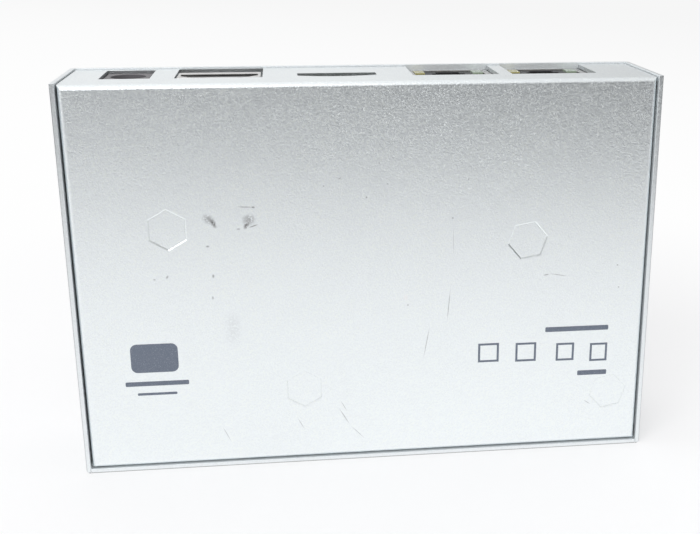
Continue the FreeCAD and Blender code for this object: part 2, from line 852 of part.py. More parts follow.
def sink_stack():
    """The receiver chip, its thermal pad and the finned heat sink on it."""
    middle = (line_x_left - sink_from_left_jack, jack_back - sink_behind_jacks)
    chip = package(middle, (receiver_size, receiver_size), receiver_height)
    pad_low = board_face + receiver_height
    sink_low = pad_low + pad_height
    pad_size = receiver_size - 2 * pad_height
    pad = block(about(middle[0], pad_size), (pad_low, sink_low), about(middle[1], pad_size))
    fins_low = sink_low + sink_base
    parts = [block(about(middle[0], sink_size), (sink_low, fins_low), about(middle[1], sink_size))]
    step = (sink_size - sink_fin_thickness) / (sink_fins - 1)
    for index in range(sink_fins):
        low = middle[0] - sink_size / 2 + index * step
        z = about(middle[1], sink_size)
        parts.append(block((low, low + sink_fin_thickness), (fins_low, fins_low + sink_fin_height), z))
    return {"receiver_chip": chip, "thermal_pad": pad, "heat_sink": joined(parts)}


def chip_row(start, step, count, size):
    """A straight row of two-ended chip parts on the board's face, each (along X, height, along Z)."""
    made = []
    for index in range(count):
        x = about(start[0] + step[0] * index, size[0])
        z = about(start[1] + step[1] * index, size[2])
        made.append(block(x, (board_face, board_face + size[1]), z))
    return made


def capacitor_can(place):
    """An upright round capacitor: its square base and its can."""
    base = package(place, (can_base_size, can_base_size), can_base_height)
    low = board_face + can_base_height
    high = low + can_body_height
    can = rod(can_radius, (place[0], low, place[1]), (place[0], high, place[1]))
    return base, round_edges(can, can_round, lambda edge: edge.BoundBox.YMin > high - fit_gap)


def board_parts():
    """The small parts on the board, grouped by kind."""
    pieces = sink_stack()
    video_chip = (video_x, case_height - video_chip_drop)
    controller = (video_x, case_height - controller_drop)
    memory = (video_x, case_height - memory_drop)
    transformer = (line_x_right + transformer_side, jack_back - transformer_behind)
    supply_x = power_x - coil_side
    small_body = (small_body_width, small_body_length)
    moulded = (transformer_width, transformer_length)

    controlling = (controller_size, controller_size)
    pieces["video_chip"] = package(video_chip, (video_chip_size, video_chip_size), video_chip_height)
    pieces["controller_chip"] = package(controller, controlling, controller_height, body_lift)
    pieces["memory_chip"] = package(memory, small_body, small_body_height, body_lift)
    pieces["line_transformer"] = package(transformer, moulded, transformer_height, transformer_lift)
    small_leads = (small_body, (0, small_lead_count), small_body_pitch, small_body_height)
    counts = (controller_lead_count, controller_lead_count)
    leads = gull_leads(controller, controlling, counts, controller_pitch, controller_height)
    leads += gull_leads(memory, *small_leads)
    counts = (transformer_lead_count, 0)
    leads += gull_leads(transformer, moulded, counts, transformer_pitch, transformer_height)

    made = []
    for index in range(2):
        place = (power_x + converter_side, case_height - converter_drop - index * converter_pitch)
        made.append(package(place, small_body, small_body_height, body_lift))
        leads += gull_leads(place, *small_leads)
    pieces["converter_chips"] = group(made)
    pieces["chip_leads"] = group(leads)

    coils = []
    for index in range(3):
        z = about(case_height - coil_drop - index * coil_pitch, coil_size)
        coil = block(about(supply_x, coil_size), (board_face, board_face + coil_height), z)
        coils.append(round_edges(coil, coil_corner, lambda edge: runs_along(edge, "y")))
    pieces["power_inductors"] = group(coils)

    places = [(supply_x, case_height - can_drop)]
    for index in range(2):
        places.append((tray_half - can_from_edge, jack_back - can_behind_jacks - index * can_pitch))
    cans = [capacitor_can(place) for place in places]
    pieces["capacitor_bases"] = group([base for base, _ in cans])
    pieces["capacitor_cans"] = group([can for _, can in cans])

    clock = (video_x + oscillator_side, controller[1])
    pieces["oscillator"] = package(clock, (oscillator_width, oscillator_length), oscillator_height)
    places = [(video_x + (index - 1) * array_pitch, case_height - array_drop) for index in range(3)]
    places += [(x, jack_back - array_behind_jack) for x in line_jacks.values()]
    arrays = [package(place, (array_width, array_length), array_height) for place in places]
    pieces["protection_arrays"] = group(arrays)

    upright = (ceramic_width, ceramic_height, ceramic_length)
    step = (ceramic_pitch, 0)
    ceramic = []
    for side in (-1, 1):
        start = (video_x - 2 * ceramic_pitch, video_chip[1] + side * ceramic_from_chip)
        ceramic += chip_row(start, step, 5, upright)
    start = (line_x_left - sink_from_left_jack - 4 * ceramic_pitch, jack_back - ceramic_length)
    ceramic += chip_row(start, step, 6, upright)
    pieces["ceramic_capacitors"] = group(ceramic)

    flat = (ceramic_length, resistor_height, ceramic_width)
    step = (0, resistor_pitch)
    resistors = chip_row((video_x - resistor_side, controller[1] - 2 * resistor_pitch), step, 5, flat)
    start = (transformer[0] - transformer_width, transformer[1] - 2 * resistor_pitch)
    resistors += chip_row(start, step, 4, flat)
    start = (line_x_left - 2 * ceramic_pitch, tray_low + resistor_line_rise)
    resistors += chip_row(start, (ceramic_pitch + resistor_height, 0), 6, flat)
    pieces["chip_resistors"] = group(resistors)
    return pieces


def indicators():
    """Two lamps that look out through the front wall, in the holder that seats them on the board."""
    pieces = {}
    names = ["power_indicator", "link_indicator"]
    holders = []
    y = board_face + lamp_height
    tip = lamp_inset
    back = tip + lamp_length
    for name, x in zip(names, lamp_places()):
        dome_z = tip + lamp_radius
        lamp = joined([
            Part.makeSphere(lamp_radius, Vector(x, y, dome_z)),
            rod(lamp_radius, (x, y, dome_z), (x, y, back)),
            rod(lamp_radius + lamp_flange, (x, y, back - lamp_flange * 4), (x, y, back)),
        ])
        pieces[name] = lamp
        wall = lamp_holder_wall
        holder_z = (board_low + body_lift, back + 2 * wall)
        holder = block(about(x, 2 * (lamp_radius + wall)), (board_face, y + lamp_radius + wall), holder_z)
        bore = rod(lamp_radius + lamp_flange + fit_gap, (x, y, 0), (x, y, back))
        holders.append(holder.cut(bore))
    pieces["indicator_holders"] = group(holders)
    return pieces


def main_board(holes):
    """The circuit board, with a hole for every standoff, pin, leg and peg."""
    y = (board_back, board_face)
    board = block((-board_half, board_half), y, (board_low, board_high))
    corners = [edge for edge in board.Edges if runs_along(edge, "y")]
    board = board.makeFillet(board_corner, corners)
    drills = [rod(screw_radius + 2 * near_fit, (x, 0, z), (x, case_depth, z)) for x, z, _, _ in standoffs]
    return board.cut(Part.makeCompound(drills + holes))


def all_parts():
    """Every sub-part by its node's name."""
    parts = {
        "bottom_tray": bottom_tray(),
        "top_cover": top_cover(),
        "board_standoffs": board_standoffs(),
        "board_screws": board_screws(),
        "cover_screws": cover_screws(),
        "cover_nuts": cover_nuts(),
    }
    built = [power_jack(), video_port()]
    built += [line_jack(side, middle) for side, middle in line_jacks.items()]
    holes = []
    for pieces, board_holes in built:
        parts.update(pieces)
        holes += board_holes
    parts.update(board_parts())
    parts.update(indicators())
    parts["main_board"] = main_board(holes)
    return parts


os.makedirs("parts", exist_ok=True)
to_middle = Vector(0, -case_depth / 2, 0)
for name, shape in all_parts().items():
    shape.translate(to_middle)
    shape.exportStep("parts/" + name + ".step")
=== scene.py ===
"""A silver receiver box for video over cable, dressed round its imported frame.

The classes quote sizes in millimetres, as a maker would, and the meshes are in metres, in the
frame's axes: +X along the port wall, +Y from the bottom plate to the cover, and +Z up from the wall
that the box stands on.
"""

from __future__ import annotations

import json
import logging
import math
from dataclasses import dataclass, field
from enum import Enum
from typing import Any, Callable, Iterable, Optional, Sequence, Union

import bmesh
import bpy
from mathutils import Euler, Matrix, Vector

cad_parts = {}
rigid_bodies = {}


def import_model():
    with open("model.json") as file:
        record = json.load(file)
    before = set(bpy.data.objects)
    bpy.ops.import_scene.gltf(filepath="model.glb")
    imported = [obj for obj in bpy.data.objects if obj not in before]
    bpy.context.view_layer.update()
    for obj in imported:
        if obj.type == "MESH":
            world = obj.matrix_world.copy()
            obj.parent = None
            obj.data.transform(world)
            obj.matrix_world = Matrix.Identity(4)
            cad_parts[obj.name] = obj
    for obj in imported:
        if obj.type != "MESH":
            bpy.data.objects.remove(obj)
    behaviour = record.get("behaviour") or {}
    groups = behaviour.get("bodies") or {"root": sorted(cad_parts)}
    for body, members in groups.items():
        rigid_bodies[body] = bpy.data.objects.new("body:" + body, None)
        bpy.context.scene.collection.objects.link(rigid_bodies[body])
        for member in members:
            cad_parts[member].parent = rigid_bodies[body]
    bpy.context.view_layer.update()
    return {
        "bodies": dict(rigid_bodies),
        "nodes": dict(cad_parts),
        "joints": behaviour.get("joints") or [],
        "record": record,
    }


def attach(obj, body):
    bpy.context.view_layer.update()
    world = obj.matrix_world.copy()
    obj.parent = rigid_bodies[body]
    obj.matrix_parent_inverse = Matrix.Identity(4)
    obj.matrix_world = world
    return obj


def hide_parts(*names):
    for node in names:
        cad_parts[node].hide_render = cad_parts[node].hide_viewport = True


LOG = logging.getLogger("receiver_box")
MM = 0.001
PLATE_FACE = -11.0

# Edges that meet at more than SHARP_ANGLE are rounded, and faces within FLAT_ANGLE are one flat.
SHARP_ANGLE = math.radians(35)
FLAT_ANGLE = math.radians(0.6)
# Vertices closer than this, in millimetres, are one.
WELD = 0.0005
# Flats in the round of an edge, and in that of a print's corner.
EDGE_SEGMENTS = 2
CORNER_SEGMENTS = 6
# An edge runs along an axis when its direction's share of that axis is more than this.
ALONG = 0.9
# How strongly large faces lead the shading beside a rounded edge, out of 100.
FLAT_WEIGHT = 90

RGB = tuple[float, float, float]
Span = tuple[float, float]
Area = tuple[Span, Span]


def rgba(colour: RGB) -> tuple[float, float, float, float]:
    """The colour with a full alpha, as a colour socket takes it."""
    return (*colour, 1.0)


class Level:
    """A number that changes over a surface. Python's operators add its Math nodes."""

    def __init__(self, tree: "FinishTree", output: bpy.types.NodeSocket) -> None:
        """Wraps one number output of a finish's node tree.

        Args:
            tree: the finish's node tree.
            output: the socket that gives the number.
        """
        self.tree = tree
        self.output = output

    def maths(self, operation: str, *terms: "Number", clamp: bool = False) -> "Level":
        """Adds one Math node.

        Args:
            operation: the Math node's operation.
            terms: its inputs, in order.
            clamp: whether the result is kept between 0 and 1.

        Returns:
            The node's result.
        """
        settings = {"operation": operation, "use_clamp": clamp}
        made = self.tree.node("ShaderNodeMath", settings, dict(enumerate(terms)))
        return Level(self.tree, made.outputs[0])

    def __add__(self, other: "Number") -> "Level":
        """This level plus another."""
        return self.maths("ADD", self, other)

    def __sub__(self, other: "Number") -> "Level":
        """This level minus another."""
        return self.maths("SUBTRACT", self, other)

    def __rsub__(self, other: "Number") -> "Level":
        """A number minus this level."""
        return self.maths("SUBTRACT", other, self)

    def __mul__(self, other: "Number") -> "Level":
        """This level times another."""
        return self.maths("MULTIPLY", self, other)

    def __truediv__(self, other: "Number") -> "Level":
        """This level divided by another."""
        return self.maths("DIVIDE", self, other)

    def __abs__(self) -> "Level":
        """This level without its sign."""
        return self.maths("ABSOLUTE", self)

    def kept(self) -> "Level":
        """This level kept between 0 and 1."""
        return self.maths("ADD", self, 0.0, clamp=True)

    def ramp(self, low: float, high: float) -> "Level":
        """A smooth rise from 0 at low to 1 at high, or a fall where low is the larger.

        Args:
            low: the level that gives 0.
            high: the level that gives 1.

        Returns:
            The smooth step.
        """
        sockets = {"Value": self, "From Min": low, "From Max": high}
        settings = {"interpolation_type": "SMOOTHSTEP"}
        return Level(self.tree, self.tree.node("ShaderNodeMapRange", settings, sockets).outputs[0])

    def swing(self, amount: float) -> "Level":
        """How far this level is from 0.5, times an amount."""
        return (self - 0.5) * amount

    def ramp_mm(self, low: float, high: float) -> "Level":
        """The same smooth step for a place along an axis.

        Args:
            low: the place that gives 0, in millimetres.
            high: the place that gives 1.

        Returns:
            The smooth step.
        """
        return self.ramp(low * MM, high * MM)


Number = Union[int, float, Level]


def summed(levels: Sequence[Level]) -> Level:
    """Adds levels up.

    Args:
        levels: one or more levels.

    Returns:
        Their sum.
    """
    total = levels[0]
    for level in levels[1:]:
        total = total + level
    return total


class FinishTree:
    """The node tree of one finish, or of the world."""

    def __init__(self, name: str, store: str = "materials") -> None:
        """Starts an empty material or world.

        Args:
            name: its name.
            store: the list that it is kept in, materials or worlds.
        """
        self.owner = getattr(bpy.data, store).new(name)
        self.owner.use_nodes = True
        self.tree = self.owner.node_tree
        self.tree.nodes.clear()

    def node(
        self,
        kind: str,
        settings: Optional[dict[str, Any]] = None,
        sockets: Optional[dict[Any, Any]] = None,
    ) -> bpy.types.Node:
        """Adds a node.

        Args:
            kind: the node's type.
            settings: its properties, set first; "stops" is a ramp's list of (place, colour).
            sockets: a value or a link for each input, by name or number.

        Returns:
            The node.
        """
        made = self.tree.nodes.new(kind)
        for name, value in (settings or {}).items():
            if name == "stops":
                elements = made.color_ramp.elements
                while len(elements) < len(value):
                    elements.new(0.5)
                for element, (place, colour) in zip(elements, value):
                    element.position = place
                    element.color = rgba(colour)
            else:
                setattr(made, name, value)
        for key, value in (sockets or {}).items():
            source = value.output if isinstance(value, Level) else value
            if isinstance(source, bpy.types.NodeSocket):
                self.tree.links.new(source, made.inputs[key])
            else:
                made.inputs[key].default_value = source
        return made

    def place(self) -> bpy.types.NodeSocket:
        """The surface's place in the frame's axes, in metres."""
        return self.node("ShaderNodeTexCoord").outputs["Object"]

    def axes(self, vector: Optional[bpy.types.NodeSocket] = None) -> tuple[Level, Level, Level]:
        """A vector's X, Y and Z, by default those of the surface's place."""
        outputs = self.node("ShaderNodeSeparateXYZ", sockets={0: vector or self.place()}).outputs
        return tuple(Level(self, output) for output in outputs[:3])

    def rays(self) -> tuple[Level, Level, Level]:
        """Tells the kinds of rays that show a background apart.

        Returns:
            1 for a camera ray, for a reflected ray, and for a ray through glass.
        """
        outputs = self.node("ShaderNodeLightPath").outputs
        kinds = ("Is Camera Ray", "Is Glossy Ray", "Is Transmission Ray")
        return tuple(Level(self, outputs[kind]) for kind in kinds)

    def stretched(
        self, scale: RGB, turn: RGB = (0, 0, 0), middle: RGB = (0, 0, 0)
    ) -> bpy.types.NodeSocket:
        """The surface's place measured from middle, turned, and divided by scale.

        Args:
            scale: what one unit is along each axis, in metres.
            turn: the pattern's turn about each axis, in radians.
            middle: the pattern's middle, in metres.

        Returns:
            The vector socket.
        """
        sockets = {"Vector": self.place(), "Location": middle, "Rotation": turn, "Scale": scale}
        return self.node("ShaderNodeMapping", {"vector_type": "TEXTURE"}, sockets).outputs[0]

    def grain(
        self, size: float, detail: float = 1.0, rough: float = 0.5, stretch: RGB = (1, 1, 1)
    ) -> Level:
        """Noise with lumps of a size.

        Args:
            size: the lumps' size in millimetres.
            detail: how many finer layers it has.
            rough: how strong those are.
            stretch: how much longer the lumps are along each axis.

        Returns:
            The noise, about 0.5.
        """
        sockets = {
            "Vector": self.stretched(tuple(size * MM * factor for factor in stretch)),
            "Scale": 1.0,
            "Detail": detail,
            "Roughness": rough,
        }
        return Level(self, self.node("ShaderNodeTexNoise", sockets=sockets).outputs[0])

    def flakes(self, size: float) -> Level:
        """Flakes side by side, each with a random number.

        Args:
            size: the flakes' size in millimetres.

        Returns:
            The flake's number, 0 to 1.
        """
        sockets = {"Vector": self.stretched((size * MM,) * 3), "Scale": 1.0}
        colour = self.node("ShaderNodeTexVoronoi", sockets=sockets).outputs["Color"]
        return self.axes(colour)[0]

    def ellipse(self, middle: RGB, half: Span, turn: float, edge: float) -> Level:
        """A soft-edged ellipse seen along Y.

        Args:
            middle: its middle in metres.
            half: its half axes in metres.
            turn: its long axis's turn from +X towards +Z, in radians.
            edge: where its soft edge starts, from 0 at the middle to 1 at the rim.

        Returns:
            1 inside and 0 outside.
        """
        vector = self.stretched((half[0], 1.0, half[1]), (0.0, -turn, 0.0), middle)
        length = self.node("ShaderNodeVectorMath", {"operation": "LENGTH"}, {0: vector})
        return Level(self, length.outputs["Value"]).ramp(1.0, edge)

    def blend(self, factor: Number, low: Any, high: Any) -> bpy.types.NodeSocket:
        """Mixes two colours, each a tuple or a socket.

        Args:
            factor: 0 for low to 1 for high.
            low: the first colour.
            high: the second colour.

        Returns:
            The colour socket.
        """
        sockets = {0: factor}
        for number, colour in ((6, low), (7, high)):
            sockets[number] = rgba(colour) if isinstance(colour, tuple) else colour
        return self.node("ShaderNodeMix", {"data_type": "RGBA"}, sockets).outputs[2]

    def relief(self, height: Level, depth: float) -> bpy.types.NodeSocket:
        """A bumped normal.

        Args:
            height: the relief, 0 to 1.
            depth: what 1 stands for, in millimetres.

        Returns:
            The normal socket.
        """
        sockets = {"Height": height, "Distance": depth * MM}
        return self.node("ShaderNodeBump", sockets=sockets).outputs[0]

    def surface(self, **sockets: Any) -> bpy.types.Material:
        """Ends the tree in a Principled shader.

        Args:
            sockets: the shader's inputs, with _ for each space in a name.

        Returns:
            The finished material.
        """
        named = {name.replace("_", " "): value for name, value in sockets.items()}
        shader = self.node("ShaderNodeBsdfPrincipled", sockets=named)
        self.node("ShaderNodeOutputMaterial", sockets={"Surface": shader.outputs[0]})
        return self.owner


@dataclass(frozen=True)
class Mark:
    """A scuffed or dirty place on the bottom plate, a soft stretched spot.

    Places are millimetres, turn is degrees from +X towards +Z, shade is below 0 for a dark mark and
    above 0 for a light one, and broken is the size of the grain that breaks it up, or 0.
    """

    x: float
    z: float
    half_length: float
    half_width: float
    turn: float = 0.0
    shade: float = -0.3
    edge: float = 0.3
    broken: float = 0.0


def scratch(start: Span, end: Span, width: float, shade: float) -> Mark:
    """A straight scratch from one place on the plate to another.

    Args:
        start: its first end, X and Z in millimetres.
        end: its other end.
        width: its full width in millimetres.
        shade: its change of tone.

    Returns:
        The mark.
    """
    run = (end[0] - start[0], end[1] - start[1])
    turn = math.degrees(math.atan2(run[1], run[0]))
    middle = ((start[0] + end[0]) / 2, (start[1] + end[1]) / 2)
    return Mark(middle[0], middle[1], math.hypot(*run) / 2, width / 2, turn, shade, 0.2)


PLATE_MARKS: tuple[Mark, ...] = (
    Mark(-29.0, 49.5, 1.6, 1.15, -40, -0.24, 0.1, 0.35),
    Mark(-28.1, 48.6, 1.2, 0.65, -60, -0.34, 0.1, 0.3),
    Mark(-21.8, 49.2, 1.6, 1.4, 20, -0.22, 0.2, 0.35),
    Mark(-22.3, 48.1, 1.0, 0.55, 60, -0.38, 0.1, 0.3),
    Mark(-21.0, 48.0, 1.2, 0.18, 18, -0.3, 0.1),
    Mark(-23.7, 47.5, 0.5, 0.2, 0, -0.2, 0.1),
    scratch((-24.3, 51.7), (-20.4, 51.5), 0.26, -0.26),
    Mark(-20.9, 51.5, 0.45, 0.25, 0, -0.28, 0.1),
    Mark(-29.4, 44.4, 0.45, 0.28, 0, -0.26, 0.1),
    Mark(-37.0, 38.8, 0.5, 0.3, 60, -0.22, 0.1),
    Mark(-39.3, 38.4, 0.4, 0.25, 0, -0.16, 0.1),
    Mark(-28.7, 38.7, 0.32, 0.5, 0, -0.28, 0.1),
    Mark(-29.0, 34.5, 0.3, 0.5, 0, -0.2, 0.1),
    Mark(-25.6, 28.4, 2.2, 5.0, 0, -0.05, 0.1, 0.5),
    Mark(6.9, 33.1, 0.55, 0.8, 10, 0.5, 0.4),
    Mark(7.3, 31.6, 0.28, 0.28, 0, -0.18, 0.2),
    scratch((15.5, 35.3), (14.8, 27.3), 0.3, -0.2),
    scratch((11.6, 27.7), (10.2, 20.0), 0.3, -0.18),
    scratch((15.8, 47.8), (16.0, 40.2), 0.24, -0.1),
    Mark(15.7, 48.4, 0.3, 0.3, 0, -0.2, 0.2),
    scratch((33.2, 36.5), (34.7, 36.8), 0.34, -0.26),
    scratch((34.3, 36.9), (38.8, 36.1), 0.26, -0.2),
    scratch((-6.4, 13.1), (-4.7, 9.8), 0.3, 0.32),
    scratch((-6.0, 12.9), (-4.4, 9.9), 0.22, -0.18),
    scratch((-6.4, 11.4), (-3.9, 7.0), 0.3, -0.2),
    scratch((-4.2, 7.4), (-0.9, 3.9), 0.26, -0.16),
    scratch((-14.3, 9.6), (-12.8, 6.7), 0.26, -0.16),
    scratch((-13.5, 9.7), (-12.3, 7.1), 0.22, 0.25),
    scratch((-28.7, 8.7), (-26.9, 4.8), 0.26, -0.16),
    scratch((42.4, 10.2), (44.2, 9.0), 0.26, -0.18),
    Mark(-0.3, 52.8, 0.26, 0.26, 0, -0.24, 0.1),
    Mark(-8.1, 55.1, 0.24, 0.24, 0, -0.2, 0.1),
    Mark(-5.1, 56.5, 0.5, 0.18, 30, -0.16, 0.1),
    Mark(2.1, 59.1, 0.24, 0.24, 0, -0.2, 0.1),
    Mark(3.6, 55.2, 0.24, 0.24, 0, -0.16, 0.1),
    Mark(18.6, 55.7, 0.24, 0.24, 0, -0.2, 0.1),
    Mark(47.9, 38.1, 0.24, 0.24, 0, -0.24, 0.1),
    Mark(48.4, 33.6, 0.24, 0.24, 0, -0.2, 0.1),
)


@dataclass(frozen=True)
class SilverPaint:
    """Silver flake paint on folded sheet: fine flakes, some duller than others, in a lumpy film."""

    name: str
    tone: RGB = (0.930, 0.975, 1.0)
    dark: RGB = (0.16, 0.15, 0.15)
    contrast: float = 0.4
    flake: float = 0.24
    lump: float = 0.3
    flow: float = 14.0
    sparkle: float = 0.08
    cloud: float = 0.04
    roughness: float = 0.31
    streak: float = 0.01
    dull_flakes: Span = (0.6, 1.0)
    scatter: float = 0.075
    metallic: float = 0.96
    relief: float = 0.05

    def wear_and_shade(self, tree: FinishTree, colour: bpy.types.NodeSocket) -> bpy.types.NodeSocket:
        """The paint's colour with its wear and painted shade, here none.

        Args:
            tree: the paint's node tree.
            colour: the clean colour.

        Returns:
            The colour socket.
        """
        return colour

    def metal_share(self, tree: FinishTree) -> Number:
        """How metallic the paint is, here the same everywhere."""
        return self.metallic

    def build(self) -> bpy.types.Material:
        """Builds the paint's node tree.

        Returns:
            The paint's material.
        """
        tree = FinishTree(self.name)
        fine = tree.grain(self.flake, detail=1.0, rough=0.6)
        lumps = tree.grain(self.lump, detail=1.0, rough=0.7)
        flakes = tree.flakes(self.flake)
        flow = tree.grain(self.flow, detail=2.0)
        sparkle = flakes.swing(self.sparkle) + flow.swing(self.cloud)
        deep = tuple(part * (1 - self.contrast) for part in self.tone)
        high = tuple(part * (1 + self.contrast) for part in self.tone)
        colour = tree.blend((sparkle + 0.5).kept(), deep, high)
        dull = flakes.ramp(*self.dull_flakes) * self.scatter
        return tree.surface(
            Base_Color=self.wear_and_shade(tree, colour),
            Metallic=self.metal_share(tree),
            Roughness=flow.swing(self.streak) + dull + self.roughness,
            Normal=tree.relief(fine * 0.25 + flakes * 0.25 + lumps * 0.5, self.relief),
        )


@dataclass(frozen=True)
class PlatePaint(SilverPaint):
    """The tray's paint, with the plate's marks, and painted shade inside and on cut edges.

    Where Y and Z pass inside_y and inside_z, in millimetres, the paint is darkened as painted
    shade.
    """

    marks: tuple[Mark, ...] = ()
    light: RGB = (0.95, 0.95, 0.95)
    wear: float = 2.2
    break_up: Span = (0.34, 0.54)
    # Painted shade inside the tray and on the cut edges of its openings, darkest past these spans.
    inside_y: Span = (-9.3, -9.1)
    inside_z: Span = (73.88, 73.78)
    painted_inner_shade: float = 0.45

    def wear_and_shade(self, tree: FinishTree, colour: bpy.types.NodeSocket) -> bpy.types.NodeSocket:
        """The paint's colour with its marks and the painted shade inside the tray.

        Args:
            tree: the paint's node tree.
            colour: the clean colour.

        Returns:
            The colour socket.
        """
        stains_and_shade: list[Level] = []
        shines: list[Level] = []
        broken: dict[float, Level] = {}
        for mark in self.marks:
            middle = (mark.x * MM, PLATE_FACE * MM, mark.z * MM)
            half = (mark.half_length * MM, mark.half_width * MM)
            spot = tree.ellipse(middle, half, math.radians(mark.turn), mark.edge)
            if mark.broken:
                if mark.broken not in broken:
                    grain = tree.grain(mark.broken, detail=2.0)
                    broken[mark.broken] = grain.ramp(*self.break_up)
                spot = spot * broken[mark.broken]
            if mark.shade < 0:
                stains_and_shade.append(spot * (-mark.shade * self.wear))
            else:
                shines.append(spot * mark.shade)
        _, y, z = tree.axes()
        # Painted shade: the inside of the tray and the cut edges of its openings darkened in
        # colour.
        stains_and_shade.append(y.ramp_mm(*self.inside_y) * z.ramp_mm(*self.inside_z) * self.painted_inner_shade)
        for levels, tone in ((stains_and_shade, self.dark), (shines, self.light)):
            if levels:
                colour = tree.blend(summed(levels).kept(), colour, tone)
        return colour


@dataclass(frozen=True)
class CoverPaint(SilverPaint):
    """The cover's paint, with a painted shade round its rim's outside and a duller inner face.

    Places and sizes are in millimetres: the cover's half width, its rim's Y, its sheet, how far
    from the sheet's corner the inner face fades in, and the Y over which it ends at the back.
    """

    half_width: float = 54.6
    rim: float = -11.0
    sheet: float = 0.8
    blur: Span = (0.06, 0.02)
    back: Span = (10.6, 10.4)
    # Painted shade along the rim's outside: the contact shadow on its bottom edge, a weaker dark
    # reflection on its sides.
    line: float = 0.25
    rim_shade_dark: float = 0.9
    side_shade_share: float = 0.45
    dull_inside: float = 0.5

    def wear_and_shade(self, tree: FinishTree, colour: bpy.types.NodeSocket) -> bpy.types.NodeSocket:
        """The paint's colour with the painted shade along the rim's outside.

        Args:
            tree: the paint's node tree.
            colour: the clean colour.

        Returns:
            The colour socket.
        """
        x, y, z = tree.axes()
        # Painted shade along the rim's outside, stronger at the bottom edge than on the sides.
        sides = abs(x).ramp_mm(self.half_width - self.line, self.half_width) * self.side_shade_share
        outside = (sides + z.ramp_mm(self.line, 0.0)).kept()
        line = outside * y.ramp_mm(self.rim + self.line, self.rim)
        return tree.blend(line * self.rim_shade_dark, colour, self.dark)

    def metal_share(self, tree: FinishTree) -> Number:
        """How metallic the paint is, less so on the inner face.

        Args:
            tree: the paint's node tree.

        Returns:
            The share of metal.
        """
        x, y, z = tree.axes()
        far, near = self.blur
        wall = self.half_width - self.sheet
        between_walls = abs(x).ramp_mm(wall + far, wall + near)
        above_front = z.ramp_mm(self.sheet - far, self.sheet - near)
        inner = between_walls * above_front * y.ramp_mm(*self.back)
        return inner * -self.dull_inside + self.metallic


class Drawing(Enum):
    """How a metal's surface was worked: the stretch of its marks along X, Y and Z."""

    ROLLED = (1.0, 1.0, 12.0)
    TURNED = (1.0, 1.0, 1.0)


@dataclass(frozen=True)
class Metal:
    """Bare or plated metal with fine working marks and a few duller patches."""

    name: str
    tone: RGB
    roughness: float = 0.3
    drawing: Drawing = Drawing.ROLLED
    grain: float = 0.12
    patch: float = 2.5
    dull: float = 0.72
    bright_from: Span = (0.35, 0.6)
    patch_swing: float = 0.25
    line_swing: float = 0.2
    depth: float = 0.004

    def build(self) -> bpy.types.Material:
        """Builds the metal's node tree.

        Returns:
            The metal's material.
        """
        tree = FinishTree(self.name)
        lines = tree.grain(self.grain, detail=2.0, rough=0.6, stretch=self.drawing.value)
        patches = tree.grain(self.patch, detail=3.0)
        dull = tuple(part * self.dull for part in self.tone)
        bright = (lines * 0.5 + patches * 0.5).ramp(*self.bright_from)
        return tree.surface(
            Base_Color=tree.blend(bright, dull, self.tone),
            Metallic=1.0,
            Roughness=patches.swing(self.patch_swing)
            + lines.swing(self.line_swing)
            + self.roughness,
            Normal=tree.relief(lines, self.depth),
        )


@dataclass(frozen=True)
class Moulding:
    """Moulded plastic with a fine spark-eroded grain."""

    name: str
    tone: RGB
    roughness: float = 0.5
    grain: float = 0.1
    depth: float = 0.006
    flow: float = 3.0
    pale: float = 1.25
    haze: float = 0.004
    pale_from: Span = (0.35, 0.65)
    grain_swing: float = 0.25
    flow_swing: float = 0.1

    def build(self) -> bpy.types.Material:
        """Builds the plastic's node tree.

        Returns:
            The plastic's material.
        """
        tree = FinishTree(self.name)
        fine = tree.grain(self.grain, detail=2.0)
        flow = tree.grain(self.flow, detail=2.0)
        pale = tuple(min(part * self.pale + self.haze, 1.0) for part in self.tone)
        mix = fine * 0.4 + flow * 0.6
        return tree.surface(
            Base_Color=tree.blend(mix.ramp(*self.pale_from), self.tone, pale),
            Roughness=fine.swing(self.grain_swing) + flow.swing(self.flow_swing) + self.roughness,
            Normal=tree.relief(fine, self.depth),
        )


@dataclass(frozen=True)
class LightPipe:
    """The tinted clear plastic of an indicator, unlit, deeper in tone away from its face."""

    name: str
    tone: RGB
    core: RGB
    face: float = 73.05
    depth: float = 3.0
    cloud: float = 0.5
    tone_swing: float = 0.5
    rough_swing: float = 0.1
    roughness: float = 0.18
    coat: float = 0.4
    coat_roughness: float = 0.08
    relief: float = 0.01

    def build(self) -> bpy.types.Material:
        """Builds the plastic's node tree.

        Returns:
            The plastic's material.
        """
        tree = FinishTree(self.name)
        height = tree.axes()[2]
        cloud = tree.grain(self.cloud, detail=2.0)
        inward = height.ramp_mm(self.face, self.face - self.depth)
        return tree.surface(
            Base_Color=tree.blend(
                (inward + cloud.swing(self.tone_swing)).kept(), self.tone, self.core
            ),
            Roughness=cloud.swing(self.rough_swing) + self.roughness,
            Coat_Weight=self.coat,
            Coat_Roughness=self.coat_roughness,
            Normal=tree.relief(cloud, self.relief),
        )


